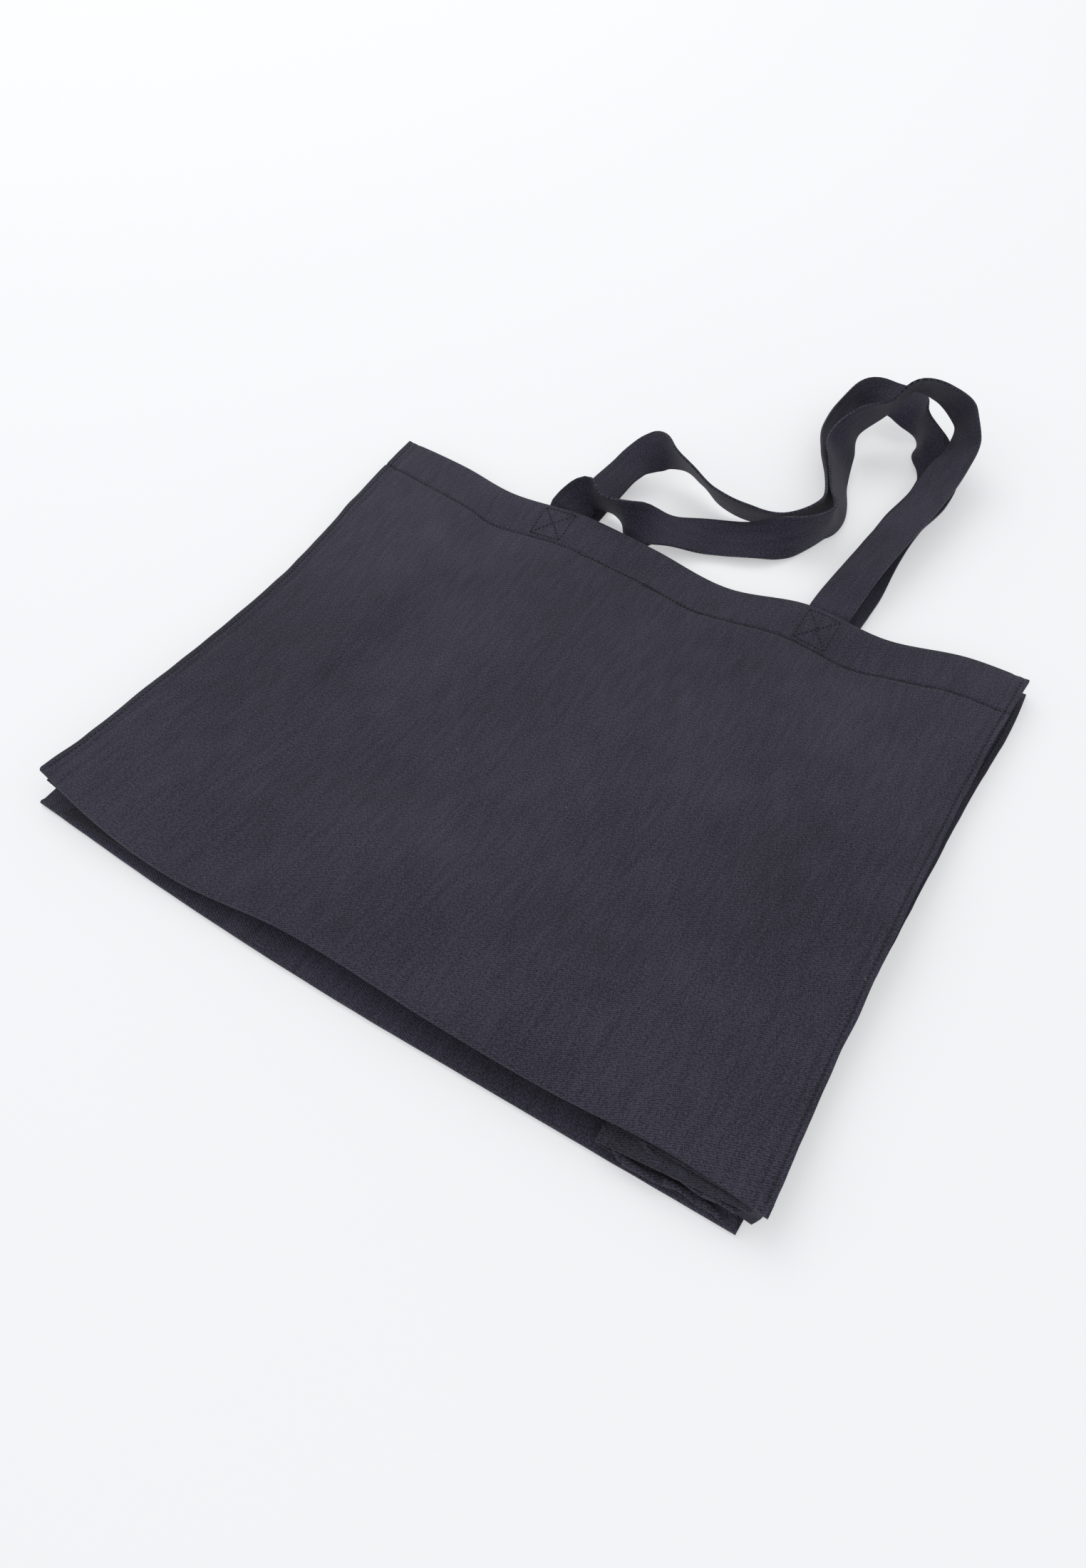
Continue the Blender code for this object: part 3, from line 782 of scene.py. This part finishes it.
front_panel = make_front_panel()
rear_sheet = make_rear_sheet()
bottom_front = make_bottom_front()
gussets = {side: make_gusset(side, sign) for side, sign in (("left", -1), ("right", 1))}
flanges = {}
for side, sign in (("left", -1), ("right", 1)):
    flanges[side, "front"] = make_flange(f"{side}_front_seam_edge", sign, front_point, -SEAM_LAYER_GAP)
    flanges[side, "rear"] = make_flange(f"{side}_rear_seam_edge", sign, rear_surface, SEAM_LAYER_GAP)

hem_v = HALF_HEIGHT - HEM_STITCH_DOWN
edge_u = HALF_WIDTH - SEAM_STITCH_IN
backtacks = [front_row(straight(x - 0.009, hem_v - drop, x + 0.009, hem_v + 0.0004))
             for x in (-0.003, 0.026) for drop in (0.0016, -0.0008)]
front_hem_stitches = stitch_rows("front_hem_stitches", [
    front_row(straight(-0.246, hem_v, 0.246, hem_v))] + backtacks)
rear_hem_stitches = stitch_rows("rear_hem_stitches", [
    rear_row(straight(-0.210, hem_v, 0.210, hem_v), REAR_Z + 0.0020)])
seam_stitches = {}
for side, sign in (("left", -1), ("right", 1)):
    line = straight(sign * edge_u, -HALF_HEIGHT + 0.003, sign * edge_u, HALF_HEIGHT - 0.003)
    seam_stitches[side, "front"] = stitch_rows(f"{side}_front_seam_stitches", [front_row(line)])
    seam_stitches[side, "rear"] = stitch_rows(
        f"{side}_rear_seam_stitches", [rear_row(line, REAR_Z + 0.0016)])

front_strap, front_sections = make_handle("front_handle_strap", FRONT_ROUTE, 61)
rear_strap, rear_sections = make_handle("rear_handle_strap", REAR_ROUTE, 66)
FRONT_BOXES = {"left": -0.099, "right": 0.114}
REAR_BOXES = {"left": -0.092, "right": 0.121}
box_stitches = {}
for side in ("left", "right"):
    box_stitches["front", side] = stitch_rows(
        f"front_{side}_box_stitches", [front_row(line) for line in box_rows(FRONT_BOXES[side])])
    box_stitches["rear", side] = stitch_rows(
        f"rear_{side}_box_stitches",
        [rear_row(line, 0.0042) for line in box_rows(REAR_BOXES[side])])

ridges = {level: make_ridge(f"right_gusset_{level}_ridge", route, seed)
          for level, route, seed in (("rear", REAR_RIDGE, 91), ("front", FRONT_RIDGE, 92))}
corner_tuck = make_corner_tuck()

# ---------------------------------------------------------------- bodies

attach(front_panel, "front")
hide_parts("front_panel", "front_mouth_hem")

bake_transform(rear_sheet)
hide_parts("rear_panel", "rear_mouth_hem", "bottom_rear")

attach(bottom_front, "bottom_front")
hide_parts("bottom_front")

for side in ("left", "right"):
    gusset = gussets[side]
    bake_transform(gusset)
    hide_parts(f"{side}_gusset_rear", f"{side}_gusset_front",
                f"{side}_gusset_rear_hem", f"{side}_gusset_front_hem")
    for level in ("front", "rear"):
        flange = flanges[side, level]
        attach(flange, level)
        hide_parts(f"{side}_{level}_seam_layer")
        stitches = seam_stitches[side, level]
        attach(stitches, level)
        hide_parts(f"{side}_{level}_seam_thread")
        box = box_stitches[level, side]
        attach(box, level)
        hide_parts(f"{level}_{side}_box_thread")

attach(corner_tuck, "right_gusset_front")
for level, ridge in ridges.items():
    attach(ridge, f"right_gusset_{level}")

for stitches, level in ((front_hem_stitches, "front"), (rear_hem_stitches, "rear")):
    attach(stitches, level)
    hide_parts(f"{level}_hem_thread")

straps = ((front_strap, "front", front_sections), (rear_strap, "rear", rear_sections))
for strap, level, sections in straps:
    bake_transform(strap)
    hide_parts(f"{level}_handle", f"{level}_handle_left_end", f"{level}_handle_right_end")

# ---------------------------------------------------------------- corners of the bottom

for name in sorted(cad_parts):
    if not name.endswith("bottom_corner"):
        continue
    side, level = name.split("_")[:2]
    bm = bmesh.new()
    bm.from_mesh(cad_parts[name].data)
    bmesh.ops.remove_doubles(bm, verts=bm.verts, dist=1e-6)
    bmesh.ops.dissolve_limit(bm, angle_limit=0.01, verts=bm.verts, edges=bm.edges)
    bmesh.ops.triangulate(bm, faces=bm.faces)
    for _ in range(3):
        long_edges = [e for e in bm.edges if e.calc_length() > 0.010]
        bmesh.ops.subdivide_edges(bm, edges=long_edges, cuts=1)
        bmesh.ops.triangulate(bm, faces=bm.faces)
    layer = bm.loops.layers.uv.new("flat_cloth")
    for vert in bm.verts:
        vert.co.z += 0.00015 * ripple(vert.co.x, vert.co.y, 60, 81)
    for face in bm.faces:
        for loop in face.loops:
            loop[layer].uv = (loop.vert.co.x, loop.vert.co.y)
    corner = new_piece(f"{side}_{level}_corner_cloth", bm, INSIDE)
    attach(corner, f"{side}_{level}_corner")
    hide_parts(name)

# ---------------------------------------------------------------- floor, light and camera


def make_floor():
    bm = bmesh.new()
    bmesh.ops.create_grid(bm, x_segments=1, y_segments=1, size=6.0)
    finish = Finish("pale_floor", 0.9, Base_Color=(0.720, 0.725, 0.735, 1.0), Specular_IOR_Level=0.05,
                    Emission_Color=(1.0, 1.0, 1.0, 1.0), Emission_Strength=0.385)
    floor = new_piece("floor", bm, finish.material)
    for vert in floor.data.vertices:
        vert.co.z -= 0.0004


def add_area_light(name, place, target, size, power, colour):
    data = bpy.data.lights.new(name, "AREA")
    data.shape = "DISK"
    data.size = size
    data.energy = power
    data.color = colour
    lamp = bpy.data.objects.new(name, data)
    lamp.location = place
    lamp.rotation_euler = (Vector(target) - Vector(place)).to_track_quat("-Z", "Y").to_euler()
    bpy.context.scene.collection.objects.link(lamp)


def make_light():
    world = bpy.data.worlds.new("studio")
    world.use_nodes = True
    sky = world.node_tree.nodes["Background"]
    sky.inputs["Color"].default_value = (0.95, 0.97, 1.0, 1.0)
    sky.inputs["Strength"].default_value = 0.61
    bpy.context.scene.world = world
    add_area_light("window", (-1.5, 1.2, 2.2), (0, 0, 0), 2.2, 17.0, (1.0, 0.99, 0.98))
    add_area_light("fill", (1.2, -1.8, 2.0), (0, 0, 0), 2.6, 3.0, (0.97, 0.98, 1.0))


def make_camera():
    """A wide lens, looking down on the bag from the front right."""
    data = bpy.data.cameras.new("camera")
    data.sensor_width = 36.0
    data.lens = 24.2
    camera = bpy.data.objects.new("camera", data)
    azimuth, elevation, roll = (math.radians(angle) for angle in (35.33, 54.57, -3.45))
    back = Vector((math.sin(azimuth) * math.cos(elevation),
                   -math.cos(azimuth) * math.cos(elevation), math.sin(elevation)))
    level = Vector((math.cos(azimuth), math.sin(azimuth), 0))
    right = math.cos(roll) * level + math.sin(roll) * back.cross(level)
    turn = Matrix((right, back.cross(right), back)).transposed().to_4x4()
    camera.matrix_world = Matrix.Translation((0.2407, -0.3431, 0.5421)) @ turn
    bpy.context.scene.collection.objects.link(camera)
    bpy.context.scene.camera = camera


bpy.context.scene.view_settings.view_transform = "Standard"
make_floor()
make_light()
make_camera()
